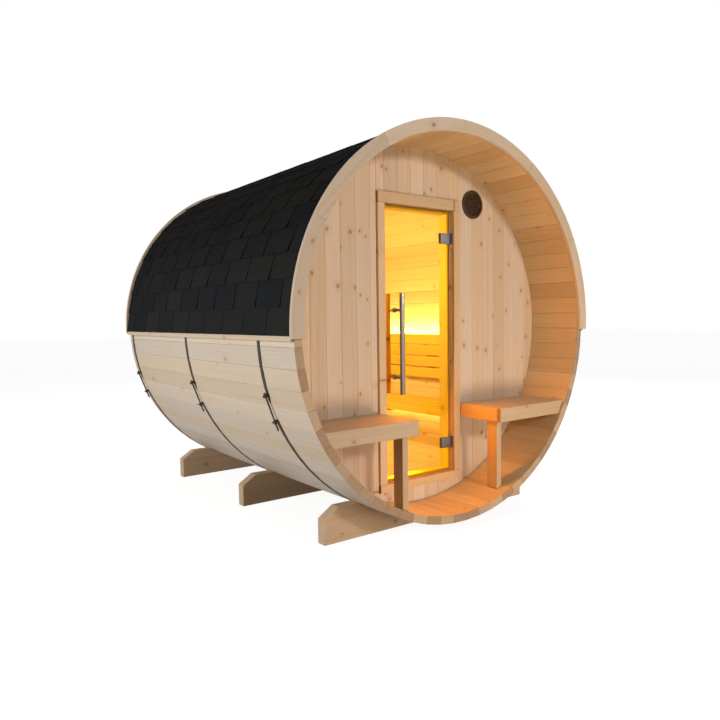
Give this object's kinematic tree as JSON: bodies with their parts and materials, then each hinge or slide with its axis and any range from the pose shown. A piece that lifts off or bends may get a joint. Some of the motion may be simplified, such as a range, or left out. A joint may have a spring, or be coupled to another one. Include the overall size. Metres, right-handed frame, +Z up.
{
  "type": "barrel sauna",
  "caption": "Barrel-shaped timber sauna cabin on cradles, with a shingled upper half, steel bands, an open porch with seats and a hinged amber glass door.",
  "frame": {"origin": "on the ground under the middle of the barrel", "axes": "+Z up, the barrel lies along Y and its porch faces -Y, +X is to the right of a person facing the door"},
  "size_m": [2.0942, 2.22, 2.1085],
  "materials": {
    "stave_spruce": "planed, untreated spruce",
    "wall_spruce": "planed, untreated spruce boards",
    "fascia_spruce": "planed spruce",
    "shingle_felt": "mineral-faced bitumen felt",
    "band_steel": "blackened steel strap",
    "rod_steel": "dull zinc-plated steel",
    "cradle_spruce": "sawn spruce plank",
    "frame_spruce": "planed spruce",
    "amber_glass": "amber toughened glass",
    "handle_steel": "brushed stainless steel",
    "handle_wood": "turned wood",
    "hinge_steel": "satin steel",
    "vent_plastic": "dark brown moulded plastic",
    "porch_spruce": "planed spruce",
    "bench_spruce": "planed spruce",
    "light_diffuser": "milky diffuser"
  },
  "bodies": {
    "cabin": {"staves_bottom": "stave_spruce", "staves_lower_right": "stave_spruce", "staves_upper_right": "stave_spruce", "staves_top": "stave_spruce", "staves_upper_left": "stave_spruce", "staves_lower_left": "stave_spruce", "front_wall_left": "wall_spruce", "front_wall_right": "wall_spruce", "front_wall_over_door": "wall_spruce", "front_wall_under_door": "wall_spruce", "back_wall": "wall_spruce", "front_fascia": "fascia_spruce", "rear_fascia": "fascia_spruce", "roof_shingles_left": "shingle_felt", "roof_shingles_right": "shingle_felt", "eave_battens": "fascia_spruce", "band_front": "band_steel", "band_middle": "band_steel", "band_rear": "band_steel", "tension_rods": "rod_steel", "cradle_front": "cradle_spruce", "cradle_middle": "cradle_spruce", "cradle_rear": "cradle_spruce", "door_jamb_left": "frame_spruce", "door_jamb_right": "frame_spruce", "door_head": "frame_spruce", "door_sill": "frame_spruce", "door_stops": "frame_spruce", "hinge_brackets": "hinge_steel", "vent_grille": "vent_plastic", "porch_seat_left": "porch_spruce", "porch_seat_right": "porch_spruce", "porch_apron_left": "porch_spruce", "porch_apron_right": "porch_spruce", "porch_legs": "porch_spruce", "bench_seat_left": "bench_spruce", "bench_seat_right": "bench_spruce", "bench_bearers": "bench_spruce", "backrest_left": "bench_spruce", "backrest_right": "bench_spruce", "backrest_uprights": "bench_spruce", "light_strips": "light_diffuser"},
    "door": {"door_glass": "amber_glass", "handle_outside": "handle_steel", "handle_inside": "handle_wood", "hinge_clamps": "hinge_steel"}
  },
  "joints": [
    {"name": "door_hinge", "type": "hinge", "parent": "cabin", "child": "door", "pos_m": [0.246, -0.7433, 0.971], "axis": [0, 0, 1], "range_deg": [0, 90]}
  ]
}
